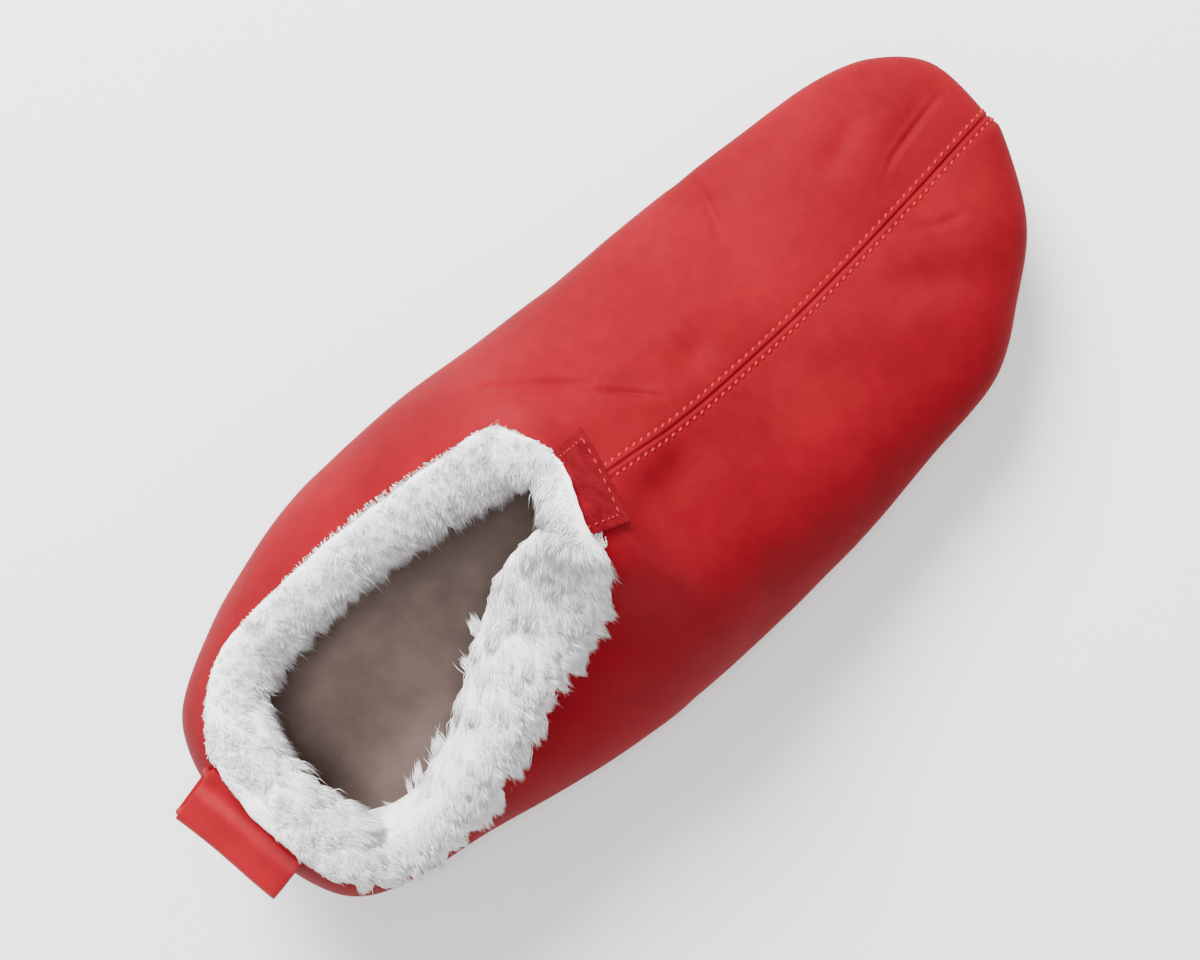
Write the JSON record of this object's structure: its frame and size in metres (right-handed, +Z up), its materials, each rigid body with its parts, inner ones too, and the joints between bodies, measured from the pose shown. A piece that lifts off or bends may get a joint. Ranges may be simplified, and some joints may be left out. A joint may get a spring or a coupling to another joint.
{
  "type": "slip-on slipper",
  "caption": "Soft red leather slip-on slipper for the right foot with a fleece collar, suede throat tab and heel pull loop, standing empty on its soft sole.",
  "frame": {"origin": "on the floor, half way along the leather body, on the flat underside of the sole", "axes": "+Y runs to the toe, +X to the wearer's right, +Z up"},
  "size_m": [0.1141, 0.2794, 0.1035],
  "materials": {
    "red_leather": "matt nubuck with a soft sheen",
    "sole_leather": "matt, lightly scuffed",
    "felt": "short dense pile, taupe",
    "fleece": "long white pile",
    "suede": "brushed, napped",
    "loop_leather": "smooth, satin"
  },
  "bodies": {
    "root": {"upper": "red_leather", "sole": "sole_leather", "insole": "felt", "fleece_collar": "fleece", "throat_tab": "suede", "heel_loop": "loop_leather"}
  },
  "joints": []
}
